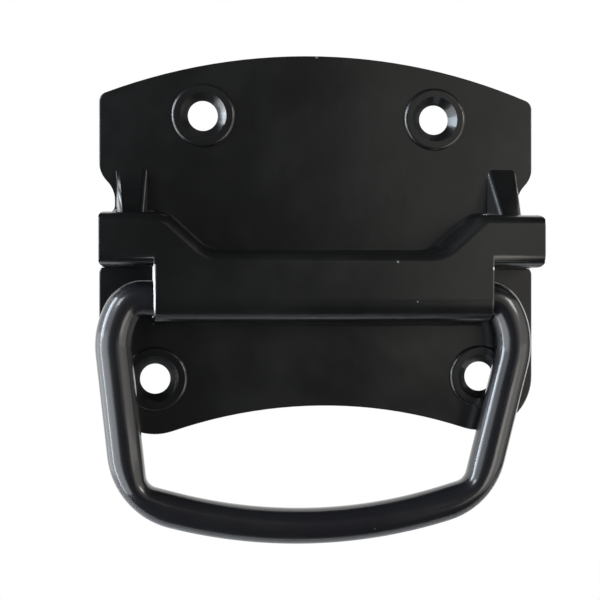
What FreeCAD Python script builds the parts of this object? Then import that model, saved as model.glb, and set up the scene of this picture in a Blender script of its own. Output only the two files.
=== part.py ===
"""Box handle: a pressed sheet back plate and a bent bar bail that swings in the plate's hood.

Frame: X to the right, Z up, the front of the handle faces -Y. The back of the plate lies in the
plane Y = 0, and the origin is the middle of the four screw holes on that back face. Millimetres.
"""

import FreeCAD, Part
import math
import os

import Sketcher

VEC = FreeCAD.Vector
ORIGIN, AXIS_H, AXIS_V = -1, -1, -2
TOLERANCE = 0.01

# Driving dimensions: alias, value, what it is.
DRIVING = [
    ("sheet_thickness", "1.2", "steel sheet of the back plate"),
    ("plate_width", "100", "overall width of the blank"),
    ("plate_top", "43.8", "crown of the top edge above the origin"),
    ("top_arc_radius", "132.5", "radius of the bowed top edge"),
    ("top_corner_radius", "2.2", "rounding of the two top corners"),
    ("bottom_crown", "36.2", "middle of the hollow bottom edge below the origin"),
    ("upper_hole_spacing", "53.5", "between the upper two screw holes"),
    ("lobe_radius", "12.5", "round lower corners, centred on the lower two screw holes"),
    ("hole_rows_apart", "59.5", "between the two rows of screw holes"),
    ("screw_hole", "6.8", "diameter of a screw hole"),
    ("countersink_mouth", "10.4", "diameter of the countersink at the front"),
    ("countersink_angle", "90", "full angle of the countersink"),
    ("boss_diameter", "14.4", "ring pressed forward around a screw hole"),
    ("boss_height", "0.8", "how far the ring stands forward of the sheet"),
    ("boss_rounding", "0.7", "rounding of the ring's shoulder"),
    ("notch_start", "18.9", "where the side notch leaves the side edge"),
    ("notch_inset", "3.5", "depth of the side notch"),
    ("notch_run", "8.5", "height of the notch's S curve"),
    ("flare_radius", "2", "hollow corner where the notch runs out onto the ear"),
    ("ear_top", "7.3", "upper face of the ears"),
    ("ear_height", "12", "upper face to lower lip of an ear"),
    ("ear_crown_radius", "2.6", "rounding of the ears' and hood's upper front edge"),
    ("ear_lip_radius", "3.2", "curl of the ears' lower lip"),
    ("ear_lip_gap", "3.2", "from the back plane to the edge of the curled lip"),
    ("ear_corner_radius", "1.4", "rounding of an ear's outer corners"),
    ("side_overlap", "0.6", "how far the side plate reaches up behind an ear's lip"),
    ("side_corner_radius", "2", "rounding of the side plate's upper corner"),
    ("ear_length", "11.9", "length of an ear beside the hood's open end"),
    ("hood_top", "1.3", "upper wall of the hood below the origin"),
    ("slope_setback", "12.3", "from the hood's open end in to the slope of its upper wall"),
    ("slope_rise_angle", "42", "angle of that slope"),
    ("slope_low_radius", "7", "bend where the slope leaves the hood"),
    ("slope_high_radius", "5", "bend where the slope meets the ear"),
    ("base_radius", "1.1", "bend where the raised parts leave the flat sheet"),
    ("mouth_edge", "0.5", "rounding of the hood's open ends"),
    ("rib_margin", "0.2", "from the side notch in to a gusset rib"),
    ("rib_width", "7", "width of a gusset rib"),
    ("rib_top", "18.3", "upper end of a gusset rib"),
    ("rib_reach", "9", "height of the rib where it runs into the ear"),
    ("rib_rounding", "1.3", "rounding of the rib's ridge"),
    ("bar_diameter", "8", "round bar of the bail"),
    ("running_gap", "0.3", "air between the bar and the plate"),
    ("pin_drop", "11.6", "axis of the bail's ends below the origin"),
    ("pin_reach", "24.1", "how far each end of the bar reaches into the hood"),
    ("shoulder_clear", "1", "straight bar left outside the hood's mouth"),
    ("shoulder_radius", "4.8", "first bend of a shoulder, at the hood's mouth"),
    ("shoulder_turn", "60", "degrees turned on that first bend"),
    ("shoulder_low_radius", "16", "second bend of a shoulder, into the arm"),
    ("left_lean", "6.4", "degrees the left arm leans inwards"),
    ("right_lean", "14.3", "degrees the right arm leans inwards"),
    ("corner_radius", "14.5", "centreline bend between an arm and the grip"),
    ("grip_radius", "114", "centreline radius of the bowed grip"),
    ("grip_offset", "-2.1", "the grip's lowest point beside the middle of the bail"),
    ("bail_drop", "51.05", "pin axis to the grip's lowest centreline point"),
    ("bail_side_shift", "-1.4", "where the loose bail sits in its side play"),
]

# Sizes that follow from the driving ones: alias, formula. Heights and depths keep their sign.
DERIVED = [
    ("half_width", "=plate_width / 2"),
    ("upper_hole_x", "=upper_hole_spacing / 2"),
    ("lower_hole_x", "=half_width - lobe_radius"),
    ("upper_row_z", "=hole_rows_apart / 2"),
    ("lower_row_z", "=-hole_rows_apart / 2"),
    ("bottom_z", "=-bottom_crown"),
    ("lobe_step", "=lower_row_z - bottom_z"),
    (
        "bottom_arc_radius",
        "=(lower_hole_x ^ 2 + lobe_step ^ 2 - lobe_radius ^ 2) / (2 * (lobe_radius - lobe_step))",
    ),
    ("screw_hole_radius", "=screw_hole / 2"),
    ("boss_radius", "=boss_diameter / 2"),
    ("boss_front", "=sheet_thickness + boss_height"),
    ("ring_inner_radius", "=screw_hole / 2 + sheet_thickness * sqrt(2)"),
    ("ring_outer_radius", "=boss_radius - sheet_thickness * 0.8"),
    ("bar_radius", "=bar_diameter / 2"),
    ("pin_z", "=-pin_drop"),
    ("pin_forward", "=boss_front + running_gap + bar_radius"),
    ("hood_low_radius", "=bar_radius + running_gap + sheet_thickness"),
    ("channel_rise", "=pin_forward + hood_low_radius"),
    ("channel_depth", "=channel_rise - sheet_thickness"),
    ("sheet_front", "=-sheet_thickness"),
    ("face_out", "=-channel_rise"),
    ("face_in", "=-channel_depth"),
    ("hood_top_out", "=-hood_top"),
    ("hood_top_in", "=-hood_top - sheet_thickness"),
    ("hood_low_out", "=pin_z - hood_low_radius"),
    ("hood_low_in", "=hood_low_out + sheet_thickness"),
    ("half_hood", "=half_width - ear_length"),
    ("lip_hollow_radius", "=hood_low_radius - sheet_thickness"),
    ("ear_top_in", "=ear_top - sheet_thickness"),
    ("ear_root_z", "=ear_top + base_radius"),
    ("ear_bottom", "=ear_top - ear_height"),
    ("ear_bottom_in", "=ear_bottom + sheet_thickness"),
    ("crown_inner_radius", "=ear_crown_radius - sheet_thickness"),
    ("lip_inner_radius", "=ear_lip_radius - sheet_thickness"),
    ("crown_y", "=face_out + ear_crown_radius"),
    ("crown_z", "=ear_top - ear_crown_radius"),
    ("lip_y", "=face_out + ear_lip_radius"),
    ("lip_z", "=ear_bottom + ear_lip_radius"),
    ("lip_edge", "=-ear_lip_gap"),
    ("side_top", "=ear_bottom + side_overlap"),
    ("waist_x", "=half_width - notch_inset"),
    ("flare_x", "=waist_x + flare_radius"),
    ("flare_top", "=ear_top + flare_radius"),
    ("notch_low", "=notch_start - notch_run"),
    ("slope_tangent", "=tan(slope_rise_angle * 0.5 deg)"),
    ("slope_start", "=half_hood - slope_setback"),
    ("slope_low_x", "=slope_start - slope_low_radius * slope_tangent"),
    ("slope_low_inner_radius", "=slope_low_radius + sheet_thickness"),
    ("slope_high_inner_radius", "=slope_high_radius - sheet_thickness"),
    ("rib_outer_x", "=waist_x - rib_margin"),
    ("rib_inner_x", "=rib_outer_x - rib_width"),
    ("rib_hollow_x", "=rib_inner_x + sheet_thickness"),
    ("rib_hollow_width", "=rib_width - 2 * sheet_thickness"),
    ("rib_front", "=-rib_reach"),
    ("rib_slope", "=(rib_top - ear_top) / (rib_reach - sheet_thickness)"),
    ("rib_shift", "=sheet_thickness * sqrt(1 + rib_slope ^ 2)"),
    ("rib_hollow_top", "=rib_top - rib_shift + rib_slope * sheet_thickness"),
    ("rib_hollow_foot", "=ear_top_in - sheet_thickness"),
    ("rib_hollow_front", "=-(rib_hollow_top - rib_hollow_foot) / rib_slope"),
    ("shoulder_start", "=half_hood + shoulder_clear"),
    ("pin_inner_end", "=half_hood - pin_reach"),
    ("left_pin_end", "=-pin_inner_end"),
    ("left_shoulder_start", "=-shoulder_start"),
    ("pin_back", "=-pin_forward"),
    ("grip_centre_z", "=pin_z - bail_drop + grip_radius"),
]


def make_sheet(doc):
    """Spreadsheet with one named cell for each size."""
    sheet = doc.addObject("Spreadsheet::Sheet", "Sizes")
    row = 1
    for alias, value, meaning in DRIVING:
        sheet.set(f"A{row}", alias)
        sheet.set(f"B{row}", value)
        sheet.setAlias(f"B{row}", alias)
        sheet.set(f"C{row}", meaning)
        row += 1
    for alias, formula in DERIVED:
        sheet.set(f"A{row}", alias)
        sheet.set(f"B{row}", formula)
        sheet.setAlias(f"B{row}", alias)
        row += 1
    doc.recompute()
    return sheet


class Sizes:
    """Reads the sheet's cells as plain numbers, to place sketch geometry where it belongs."""

    def __init__(self, sheet):
        self.sheet = sheet

    def __getattr__(self, alias):
        return float(self.sheet.get(alias))


def origin_plane(body, role):
    for feature in body.Origin.OriginFeatures:
        if feature.Role == role:
            return feature
    raise ValueError(role)


def new_sketch(body, name, role, offset=None):
    """Sketch on one of the body's origin planes, moved along its normal by a named size."""
    sketch = body.newObject("Sketcher::SketchObject", name)
    sketch.AttachmentSupport = [(origin_plane(body, role), "")]
    sketch.MapMode = "FlatFace"
    if offset:
        sketch.setExpression("AttachmentOffset.Base.z", "Sizes." + offset)
    return sketch


def bind(sketch, constraint, alias):
    """Adds a dimension to a sketch and ties it to a size of the sheet."""
    index = sketch.addConstraint(constraint)
    sketch.setExpression(f"Constraints[{index}]", alias)


def place(sketch, kind, geometry, vertex, alias, s):
    """Holds a point at a signed distance along DistanceX or DistanceY from the sketch's origin."""
    value = getattr(s, alias)
    if value < 0:
        constraint = Sketcher.Constraint(kind, geometry, vertex, ORIGIN, 1, -value)
        bind(sketch, constraint, "-Sizes." + alias)
    else:
        constraint = Sketcher.Constraint(kind, ORIGIN, 1, geometry, vertex, value)
        bind(sketch, constraint, "Sizes." + alias)


class Outline:
    """A run of lines and arcs in a sketch, joined end to end."""

    def __init__(self, sketch, start):
        self.sketch = sketch
        self.here = VEC(start[0], start[1], 0)
        self.first = None
        self.last = None

    def join(self, index, start_vertex, end_vertex, smooth):
        """Joins a new element to the one before it, tangent where the run is smooth."""
        if self.last:
            kind = "Tangent" if smooth else "Coincident"
            previous, vertex = self.last
            self.sketch.addConstraint(
                Sketcher.Constraint(kind, previous, vertex, index, start_vertex)
            )
        else:
            self.first = (index, start_vertex)
        self.last = (index, end_vertex)
        return index

    def line(self, x, y, smooth=False, way=None):
        """Line to a point; way is Horizontal or Vertical where it runs along an axis."""
        end = VEC(x, y, 0)
        index = self.sketch.addGeometry(Part.LineSegment(self.here, end), False)
        self.here = end
        self.join(index, 1, 2, smooth)
        if way:
            self.sketch.addConstraint(Sketcher.Constraint(way, index))
        return index

    def arc(self, x, y, centre, clockwise, alias=None, smooth=True):
        """Arc to a point about a centre; alias names the size that is its radius."""
        middle = VEC(centre[0], centre[1], 0)
        size = self.here.distanceToPoint(middle)
        start_angle = math.atan2(self.here.y - middle.y, self.here.x - middle.x)
        end_angle = math.atan2(y - middle.y, x - middle.x)
        if clockwise:
            start_angle, end_angle = end_angle, start_angle
        circle = Part.Circle(middle, VEC(0, 0, 1), size)
        index = self.sketch.addGeometry(Part.ArcOfCircle(circle, start_angle, end_angle), False)
        self.here = VEC(x, y, 0)
        if clockwise:
            self.join(index, 2, 1, smooth)
        else:
            self.join(index, 1, 2, smooth)
        if alias:
            bind(self.sketch, Sketcher.Constraint("Radius", index, size), "Sizes." + alias)
        return index

    def close(self, smooth=False):
        """Joins the last element to the first."""
        kind = "Tangent" if smooth else "Coincident"
        index, vertex = self.last
        first, first_vertex = self.first
        self.sketch.addConstraint(Sketcher.Constraint(kind, index, vertex, first, first_vertex))


def polygon(sketch, s, corners):
    """Closed run of straight lines whose corners are pairs of named sizes; None is an axis."""
    numbers = []
    for x_alias, y_alias in corners:
        x = getattr(s, x_alias) if x_alias else 0
        y = getattr(s, y_alias) if y_alias else 0
        numbers.append((x, y))
    run = Outline(sketch, numbers[0])
    lines = [run.line(x, y) for x, y in numbers[1:]]
    lines.append(run.line(*numbers[0]))
    run.close()
    for line, (x_alias, y_alias) in zip(lines, corners):
        if x_alias:
            place(sketch, "DistanceX", line, 1, x_alias, s)
        else:
            sketch.addConstraint(Sketcher.Constraint("PointOnObject", line, 1, AXIS_V))
        if y_alias:
            place(sketch, "DistanceY", line, 1, y_alias, s)
        else:
            sketch.addConstraint(Sketcher.Constraint("PointOnObject", line, 1, AXIS_H))


def circles(sketch, s, radius_alias):
    """A circle about each screw hole of the right half."""
    for x_alias, y_alias in (("upper_hole_x", "upper_row_z"), ("lower_hole_x", "lower_row_z")):
        centre = VEC(getattr(s, x_alias), getattr(s, y_alias), 0)
        size = getattr(s, radius_alias)
        index = sketch.addGeometry(Part.Circle(centre, VEC(0, 0, 1), size), False)
        bind(sketch, Sketcher.Constraint("Radius", index, size), "Sizes." + radius_alias)
        place(sketch, "DistanceX", index, 3, x_alias, s)
        place(sketch, "DistanceY", index, 3, y_alias, s)


def pad(body, name, sketch, length_alias):
    feature = body.newObject("PartDesign::Pad", name)
    feature.Profile = sketch
    feature.setExpression("Length", "Sizes." + length_alias)
    body.Document.recompute()
    return feature


def pocket(body, name, sketch, length_alias):
    """Cuts along the sketch's normal, which is forwards or to the right."""
    before = body.Shape.Volume
    feature = body.newObject("PartDesign::Pocket", name)
    feature.Profile = sketch
    feature.Reversed = True
    feature.setExpression("Length", "Sizes." + length_alias)
    body.Document.recompute()
    if feature.Shape.Volume >= before - TOLERANCE:
        raise ValueError(name + " cuts nothing")
    return feature


def fillet(body, name, base, names, alias):
    """Rounds the named edges of a feature."""
    if not names:
        raise ValueError(name + " finds no edge")
    feature = body.newObject("PartDesign::Fillet", name)
    feature.Base = (base, names)
    feature.setExpression("Radius", "Sizes." + alias)
    body.Document.recompute()
    return feature


def edges_where(shape, test):
    """Names of the edges whose points all pass a test."""
    names = []
    for number, edge in enumerate(shape.Edges, 1):
        first, last = edge.ParameterRange
        points = [edge.valueAt(first + (last - first) * k / 4) for k in range(5)]
        if all(test(point) for point in points):
            names.append(f"Edge{number}")
    return names


def near(a, b):
    return abs(a - b) < TOLERANCE


def blank_sketch(body, s):
    """Right half of the flat blank, seen from the front."""
    sketch = new_sketch(body, "BlankSketch", "XZ_Plane")
    top_centre = s.plate_top - s.top_arc_radius
    inner = s.top_arc_radius - s.top_corner_radius
    corner_x = s.half_width - s.top_corner_radius
    corner_y = top_centre + math.sqrt(inner**2 - corner_x**2)
    stretch = s.top_arc_radius / inner
    run = Outline(sketch, (0, s.plate_top))
    top = run.arc(
        corner_x * stretch,
        top_centre + (corner_y - top_centre) * stretch,
        (0, top_centre),
        True,
        "top_arc_radius",
    )
    run.arc(s.half_width, corner_y, (corner_x, corner_y), True, "top_corner_radius")
    side = run.line(s.half_width, s.notch_start, smooth=True, way="Vertical")
    turn = 2 * math.atan(s.notch_inset / s.notch_run)
    notch_radius = s.notch_run / (2 * math.sin(turn))
    swell = run.arc(
        s.half_width - s.notch_inset / 2,
        s.notch_start - s.notch_run / 2,
        (s.half_width - notch_radius, s.notch_start),
        True,
    )
    hollow = run.arc(s.waist_x, s.notch_low, (s.waist_x + notch_radius, s.notch_low), False)
    waist = run.line(s.waist_x, s.flare_top, smooth=True, way="Vertical")
    flare = run.arc(s.flare_x, s.ear_top, (s.flare_x, s.flare_top), False, "flare_radius")
    run.line(s.flare_x, s.side_top, way="Vertical")
    round_x = s.half_width - s.side_corner_radius
    round_z = s.side_top - s.side_corner_radius
    step = run.line(round_x, s.side_top, way="Horizontal")
    run.arc(s.half_width, round_z, (round_x, round_z), True, "side_corner_radius")
    run.line(s.half_width, s.lower_row_z, smooth=True, way="Vertical")
    bottom_centre = s.bottom_z - s.bottom_arc_radius
    share = s.bottom_arc_radius / (s.bottom_arc_radius + s.lobe_radius)
    lobe = run.arc(
        s.lower_hole_x * share,
        bottom_centre + (s.lower_row_z - bottom_centre) * share,
        (s.lower_hole_x, s.lower_row_z),
        True,
        "lobe_radius",
    )
    bottom = run.arc(0, s.bottom_z, (0, bottom_centre), False)
    run.line(0, s.plate_top, way="Vertical")
    run.close()
    sketch.addConstraint(Sketcher.Constraint("Equal", swell, hollow))
    sketch.addConstraint(Sketcher.Constraint("PointOnObject", top, 3, AXIS_V))
    sketch.addConstraint(Sketcher.Constraint("PointOnObject", bottom, 3, AXIS_V))
    sketch.addConstraint(Sketcher.Constraint("PointOnObject", bottom, 2, AXIS_V))
    place(sketch, "DistanceY", top, 2, "plate_top", s)
    place(sketch, "DistanceX", side, 2, "half_width", s)
    place(sketch, "DistanceY", side, 2, "notch_start", s)
    place(sketch, "DistanceX", waist, 1, "waist_x", s)
    place(sketch, "DistanceY", waist, 1, "notch_low", s)
    sketch.addConstraint(Sketcher.Constraint("Vertical", flare, 3, flare, 2))
    place(sketch, "DistanceY", flare, 2, "ear_top", s)
    place(sketch, "DistanceY", step, 1, "side_top", s)
    place(sketch, "DistanceX", lobe, 3, "lower_hole_x", s)
    place(sketch, "DistanceY", lobe, 3, "lower_row_z", s)
    place(sketch, "DistanceY", bottom, 2, "bottom_z", s)
    return sketch


def hood_sketch(body, name, s, inset, aliases):
    """Plan of the raised hood and its slope up to the ear, right half, or its hollow inside."""
    top, high, low, low_radius, high_radius = aliases
    sketch = new_sketch(body, name, "XZ_Plane")
    angle = math.radians(s.slope_rise_angle)
    along = VEC(math.cos(angle), math.sin(angle), 0)
    half_tangent = math.tan(angle / 2)
    top_z = getattr(s, top)
    high_z = getattr(s, high)
    low_z = getattr(s, low)
    first_radius = getattr(s, low_radius)
    second_radius = getattr(s, high_radius)
    low_x = s.slope_start + inset * half_tangent
    high_x = low_x + (high_z - top_z) / math.tan(angle)
    first = first_radius * half_tangent
    second = second_radius * half_tangent
    run = Outline(sketch, (0, top_z))
    brow = run.line(low_x - first, top_z, way="Horizontal")
    bend = run.arc(
        low_x + first * along.x,
        top_z + first * along.y,
        (low_x - first, top_z + first_radius),
        False,
        low_radius,
    )
    slope = run.line(high_x - second * along.x, high_z - second * along.y, smooth=True)
    run.arc(high_x + second, high_z, (high_x + second, high_z - second_radius), True, high_radius)
    ear = run.line(s.half_hood, high_z, smooth=True, way="Horizontal")
    side = run.line(s.half_hood, low_z, way="Vertical")
    run.line(0, low_z, way="Horizontal")
    run.line(0, top_z, way="Vertical")
    run.close()
    bind(sketch, Sketcher.Constraint("Angle", slope, angle), "Sizes.slope_rise_angle * 1 deg")
    sketch.addConstraint(Sketcher.Constraint("PointOnObject", brow, 1, AXIS_V))
    place(sketch, "DistanceY", brow, 1, top, s)
    place(sketch, "DistanceY", ear, 2, high, s)
    place(sketch, "DistanceX", ear, 2, "half_hood", s)
    place(sketch, "DistanceY", side, 2, low, s)
    place(sketch, "DistanceX", bend, 3, "slope_low_x", s)
    return sketch


def ear_sketch(body, s):
    """Section of an ear: a channel of sheet, joined to the plate above and curled in below."""
    sketch = new_sketch(body, "EarSketch", "YZ_Plane", "half_hood")
    root_y = s.sheet_front - s.base_radius
    run = Outline(sketch, (s.sheet_front, s.ear_root_z))
    run.arc(root_y, s.ear_top, (root_y, s.ear_root_z), True, "base_radius")
    roof = run.line(s.crown_y, s.ear_top, smooth=True, way="Horizontal")
    run.arc(s.face_out, s.crown_z, (s.crown_y, s.crown_z), False, "ear_crown_radius")
    face = run.line(s.face_out, s.lip_z, smooth=True, way="Vertical")
    run.arc(s.lip_y, s.ear_bottom, (s.lip_y, s.lip_z), False, "ear_lip_radius")
    lip = run.line(s.lip_edge, s.ear_bottom, smooth=True, way="Horizontal")
    run.line(s.lip_edge, s.ear_bottom_in, way="Vertical")
    lip_in = run.line(s.lip_y, s.ear_bottom_in, way="Horizontal")
    run.arc(s.face_in, s.lip_z, (s.lip_y, s.lip_z), True, "lip_inner_radius")
    run.line(s.face_in, s.crown_z, smooth=True, way="Vertical")
    crown = run.arc(s.crown_y, s.ear_top_in, (s.crown_y, s.crown_z), True, "crown_inner_radius")
    roof_in = run.line(s.sheet_front, s.ear_top_in, smooth=True, way="Horizontal")
    run.line(s.sheet_front, s.ear_root_z, way="Vertical")
    run.close(smooth=True)
    place(sketch, "DistanceX", roof_in, 2, "sheet_front", s)
    place(sketch, "DistanceY", roof, 1, "ear_top", s)
    place(sketch, "DistanceX", face, 1, "face_out", s)
    place(sketch, "DistanceY", lip, 2, "ear_bottom", s)
    place(sketch, "DistanceX", lip, 2, "lip_edge", s)
    place(sketch, "DistanceY", lip_in, 1, "ear_bottom_in", s)
    place(sketch, "DistanceX", crown, 3, "crown_y", s)
    place(sketch, "DistanceY", roof_in, 2, "ear_top_in", s)
    return sketch


def corner_sketch(body, s):
    """The scraps cut off an ear's two outer corners, seen from the front."""
    sketch = new_sketch(body, "EarCornerSketch", "XZ_Plane")
    size = s.ear_corner_radius
    turn_x = s.half_width - size
    for edge, turn, clockwise in (("ear_top", -size, True), ("ear_bottom", size, False)):
        edge_z = getattr(s, edge)
        run = Outline(sketch, (turn_x, edge_z))
        centre = (turn_x, edge_z + turn)
        arc = run.arc(s.half_width, edge_z + turn, centre, clockwise, "ear_corner_radius")
        side = run.line(s.half_width, edge_z, way="Vertical")
        run.line(turn_x, edge_z, way="Horizontal")
        run.close()
        side_end, edge_end = (1, 2) if clockwise else (2, 1)
        sketch.addConstraint(Sketcher.Constraint("Horizontal", arc, 3, arc, side_end))
        sketch.addConstraint(Sketcher.Constraint("Vertical", arc, 3, arc, edge_end))
        place(sketch, "DistanceX", side, 2, "half_width", s)
        place(sketch, "DistanceY", side, 2, edge, s)
    return sketch


def relief_sketch(body, s):
    """Clears the ear's root bend out of the side notch, down to the notch's hollow corner."""
    sketch = new_sketch(body, "NotchSketch", "XZ_Plane")
    run = Outline(sketch, (s.waist_x, s.flare_top))
    flare = run.arc(s.flare_x, s.ear_top, (s.flare_x, s.flare_top), False, "flare_radius")
    run.line(s.half_width, s.ear_top, way="Horizontal")
    side = run.line(s.half_width, s.notch_low, way="Vertical")
    run.line(s.waist_x, s.notch_low, way="Horizontal")
    run.line(s.waist_x, s.flare_top, way="Vertical")
    run.close()
    sketch.addConstraint(Sketcher.Constraint("Vertical", flare, 3, flare, 2))
    sketch.addConstraint(Sketcher.Constraint("Horizontal", flare, 3, flare, 1))
    place(sketch, "DistanceX", flare, 1, "waist_x", s)
    place(sketch, "DistanceY", flare, 2, "ear_top", s)
    place(sketch, "DistanceX", side, 2, "half_width", s)
    place(sketch, "DistanceY", side, 2, "notch_low", s)
    return sketch


def without(shape, names, axis, value):
    """Drops the edges that lie in the plane where one coordinate has the given value."""
    kept = []
    for name in names:
        ends = [vertex.Point for vertex in shape.getElement(name).Vertexes]
        if not all(near(getattr(end, axis), value) for end in ends):
            kept.append(name)
    return kept


def crown_edges(shape, s, face, lowest):
    """The chain where a raised face meets the walls above it, from the middle to the ear."""
    names = edges_where(shape, lambda p: near(p.y, face) and p.z > lowest - TOLERANCE)
    names = without(shape, names, "x", s.half_hood)
    return without(shape, names, "x", 0)


def raise_hood(body, s):
    """Hood and slope as one raised block, bent at its foot and crowned along its upper edge."""
    aliases = ("hood_top_out", "ear_top", "hood_low_out", "slope_low_radius", "slope_high_radius")
    block = pad(body, "HoodBlock", hood_sketch(body, "HoodSketch", s, 0, aliases), "channel_rise")
    foot = edges_where(
        block.Shape,
        lambda p: near(p.y, s.sheet_front)
        and p.z > s.hood_low_out - TOLERANCE
        and p.x < s.half_hood + TOLERANCE,
    )
    foot = without(block.Shape, foot, "x", s.half_hood)
    foot = without(block.Shape, foot, "x", 0)
    block = fillet(body, "FootBend", block, foot, "base_radius")
    crown = crown_edges(block.Shape, s, s.face_out, s.hood_top_out)
    fillet(body, "HoodCrown", block, crown, "ear_crown_radius")


def hollow_hood(body, s):
    """Takes the inside out of the hood from the back, then rounds its lower lip in and out."""
    aliases = (
        "hood_top_in",
        "ear_top_in",
        "hood_low_in",
        "slope_low_inner_radius",
        "slope_high_inner_radius",
    )
    sketch = hood_sketch(body, "HollowSketch", s, s.sheet_thickness, aliases)
    hollow = pocket(body, "HoodHollow", sketch, "channel_depth")
    crown = crown_edges(hollow.Shape, s, s.face_in, s.hood_top_in)
    hollow = fillet(body, "HollowCrown", hollow, crown, "crown_inner_radius")
    inner = edges_where(hollow.Shape, lambda p: near(p.y, s.face_in) and near(p.z, s.hood_low_in))
    hollow = fillet(body, "HollowLip", hollow, inner, "lip_hollow_radius")
    outer = edges_where(hollow.Shape, lambda p: near(p.y, s.face_out) and near(p.z, s.hood_low_out))
    fillet(body, "HoodLip", hollow, outer, "hood_low_radius")


def form_ear(body, s):
    """Ear beside the hood, with its corners rounded and the sheet behind it cut away."""
    pad(body, "Ear", ear_sketch(body, s), "ear_length")
    pocket(body, "EarCorners", corner_sketch(body, s), "channel_rise")
    pocket(body, "NotchRelief", relief_sketch(body, s), "channel_rise")
    window = new_sketch(body, "WindowSketch", "XZ_Plane")
    corners = [
        ("half_hood", "ear_top_in"),
        ("half_width", "ear_top_in"),
        ("half_width", "side_top"),
        ("half_hood", "side_top"),
    ]
    polygon(window, s, corners)
    pocket(body, "Window", window, "sheet_thickness")


def round_mouth(body, s):
    """Rolled edge that the shears leave at the hood's mouth."""
    lip_centre = VEC(s.half_hood, -s.pin_forward, s.pin_z)

    def on_mouth(p):
        if not near(p.x, s.half_hood) or p.z > s.ear_bottom + TOLERANCE:
            return False
        on_lip = near(p.distanceToPoint(lip_centre), s.hood_low_radius)
        return near(p.y, s.face_out) or (on_lip and p.y < TOLERANCE - s.pin_forward)

    base = body.Tip
    fillet(body, "MouthEdge", base, edges_where(base.Shape, on_mouth), "mouth_edge")


def raise_rib(body, s):
    """Gusset rib above the ear: a sloping ridge pressed forward, hollow behind."""
    sketch = new_sketch(body, "RibSketch", "YZ_Plane", "rib_inner_x")
    corners = [
        (None, "rib_top"),
        ("sheet_front", "rib_top"),
        ("rib_front", "ear_top"),
        ("rib_front", "ear_top_in"),
        (None, "ear_top_in"),
    ]
    polygon(sketch, s, corners)
    rib = pad(body, "Rib", sketch, "rib_width")
    sides = edges_where(
        rib.Shape,
        lambda p: near(p.x, s.rib_inner_x) or near(p.x, s.rib_outer_x),
    )
    rise = s.rib_top - s.ear_top
    ridge = [name for name in sides if near(rib.Shape.getElement(name).BoundBox.ZLength, rise)]
    fillet(body, "RibRidge", rib, ridge, "rib_rounding")
    sketch = new_sketch(body, "RibHollowSketch", "YZ_Plane", "rib_hollow_x")
    corners = [
        (None, "rib_hollow_top"),
        ("rib_hollow_front", "rib_hollow_foot"),
        (None, "rib_hollow_foot"),
    ]
    polygon(sketch, s, corners)
    pocket(body, "RibHollow", sketch, "rib_hollow_width")


def press_screw_rings(body, s):
    """Ring pressed forward around each screw hole, its countersink and the groove behind it."""
    sketch = new_sketch(body, "RingSketch", "XZ_Plane")
    circles(sketch, s, "boss_radius")
    ring = pad(body, "ScrewRings", sketch, "boss_front")
    rims = edges_where(ring.Shape, lambda p: near(p.y, -s.boss_front))
    fillet(body, "RingShoulders", ring, rims, "boss_rounding")
    sketch = new_sketch(body, "ScrewHoleSketch", "XZ_Plane", "boss_front")
    circles(sketch, s, "screw_hole_radius")
    body.Document.recompute()
    hole = body.newObject("PartDesign::Hole", "ScrewHoles")
    hole.Profile = sketch
    hole.setExpression("Diameter", "Sizes.screw_hole")
    hole.DepthType = "ThroughAll"
    hole.HoleCutType = "Countersink"
    hole.setExpression("HoleCutDiameter", "Sizes.countersink_mouth")
    hole.setExpression("HoleCutCountersinkAngle", "Sizes.countersink_angle")
    body.Document.recompute()
    sketch = new_sketch(body, "RingHollowSketch", "XZ_Plane")
    circles(sketch, s, "ring_inner_radius")
    circles(sketch, s, "ring_outer_radius")
    pocket(body, "RingHollow", sketch, "boss_height")


def back_plate(doc, s):
    """The pressed plate, made as its right half and mirrored whole at the end."""
    body = doc.addObject("PartDesign::Body", "BackPlate")
    body.Label = "back_plate"
    pad(body, "Blank", blank_sketch(body, s), "sheet_thickness")
    raise_hood(body, s)
    hollow_hood(body, s)
    form_ear(body, s)
    round_mouth(body, s)
    raise_rib(body, s)
    press_screw_rings(body, s)
    whole = body.newObject("PartDesign::Mirrored", "BothHalves")
    whole.TransformMode = "Whole shape"
    whole.MirrorPlane = (origin_plane(body, "YZ_Plane"), [""])
    body.Tip = whole
    body.Placement = FreeCAD.Placement(VEC(0, 0, 0), FreeCAD.Rotation())
    doc.recompute()
    return body


def shoulder_points(s, lean):
    """Points of a right-hand shoulder: end of the first bend, centre and end of the second."""
    turn = math.radians(s.shoulder_turn)
    lean_angle = math.radians(lean)
    first_end = VEC(
        s.shoulder_start + s.shoulder_radius * math.sin(turn),
        s.pin_z - s.shoulder_radius * (1 - math.cos(turn)),
        0,
    )
    centre = first_end - VEC(math.sin(turn), math.cos(turn), 0) * s.shoulder_low_radius
    arm_start = centre + VEC(math.cos(lean_angle), -math.sin(lean_angle), 0) * s.shoulder_low_radius
    return first_end, centre, arm_start


def corner_points(s, lean, arm_start, grip_centre):
    """Bend between a right-hand arm and the grip: its centre, arm end and grip end."""
    lean_angle = math.radians(lean)
    along = VEC(-math.sin(lean_angle), -math.cos(lean_angle), 0)
    inward = VEC(-math.cos(lean_angle), math.sin(lean_angle), 0)
    foot = arm_start + inward * s.corner_radius
    reach = s.grip_radius - s.corner_radius
    gap = foot - grip_centre
    half = gap.dot(along)
    run = -half + math.sqrt(half**2 - gap.dot(gap) + reach**2)
    centre = foot + along * run
    arm_end = centre - inward * s.corner_radius
    grip_end = grip_centre + (centre - grip_centre) * (s.grip_radius / reach)
    return centre, arm_end, grip_end


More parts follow.
